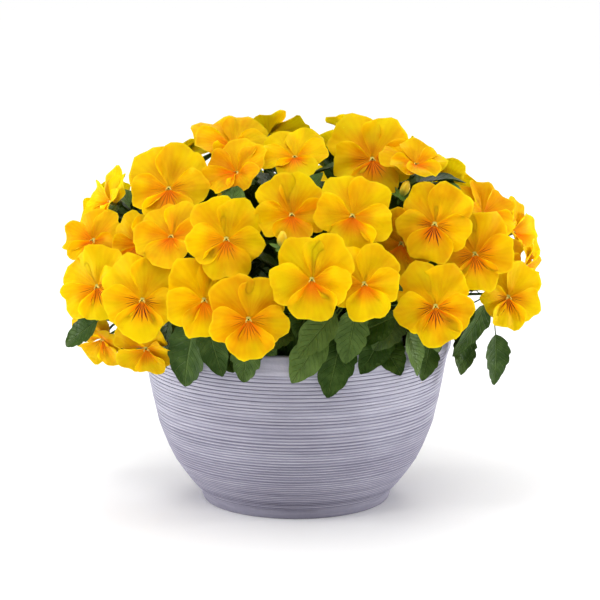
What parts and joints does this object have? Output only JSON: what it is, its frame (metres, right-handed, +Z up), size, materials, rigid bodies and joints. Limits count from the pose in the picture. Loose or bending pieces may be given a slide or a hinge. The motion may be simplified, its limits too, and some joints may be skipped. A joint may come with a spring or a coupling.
{
  "type": "potted pansy planter",
  "caption": "Free-standing ribbed bowl planter filled with soil and a rounded mass of yellow pansies on leafy stems.",
  "frame": {"origin": "centre of the bowl's flat underside, on the surface that it stands on", "axes": "+Z up through the bowl's axis, -Y towards the front that the picture shows, +X to the viewer's right"},
  "size_m": [0.4739, 0.4302, 0.3943],
  "materials": {
    "planter": "matte, unglazed, with fine mottling",
    "soil": "crumbly and matte",
    "petal": "soft satin, with darker lines at the throat",
    "bud": "soft satin",
    "green": "satin, slightly waxy"
  },
  "bodies": {
    "root": {"bowl": "planter", "soil": "soil", "bloom_01": "petal", "bloom_02": "petal", "bloom_03": "petal", "bloom_04": "petal", "bloom_05": "petal", "bloom_06": "petal", "bloom_07": "petal", "bloom_08": "petal", "bloom_09": "petal", "bloom_10": "petal", "bloom_11": "petal", "bloom_12": "petal", "bloom_13": "petal", "bloom_14": "petal", "bloom_15": "petal", "bloom_16": "petal", "bloom_17": "petal", "bloom_18": "petal", "bloom_19": "petal", "bloom_20": "petal", "bloom_21": "petal", "bloom_22": "petal", "bloom_23": "petal", "bloom_24": "petal", "bloom_25": "petal", "bloom_26": "petal", "bloom_27": "petal", "bloom_28": "petal", "bloom_29": "petal", "bloom_30": "petal", "bloom_31": "petal", "bloom_32": "petal", "bloom_33": "petal", "bloom_34": "petal", "bloom_35": "petal", "bloom_36": "petal", "bloom_37": "petal", "bloom_38": "petal", "bloom_39": "petal", "bloom_40": "petal", "bloom_41": "petal", "bloom_42": "petal", "bloom_43": "petal", "bloom_44": "petal", "bloom_45": "petal", "bloom_46": "petal", "bloom_47": "petal", "bloom_48": "petal", "bloom_49": "petal", "bloom_50": "petal", "bud_51": "bud", "bud_52": "bud", "plant_1": "green", "plant_2": "green", "plant_3": "green", "plant_4": "green", "plant_5": "green", "plant_6": "green"}
  },
  "joints": []
}
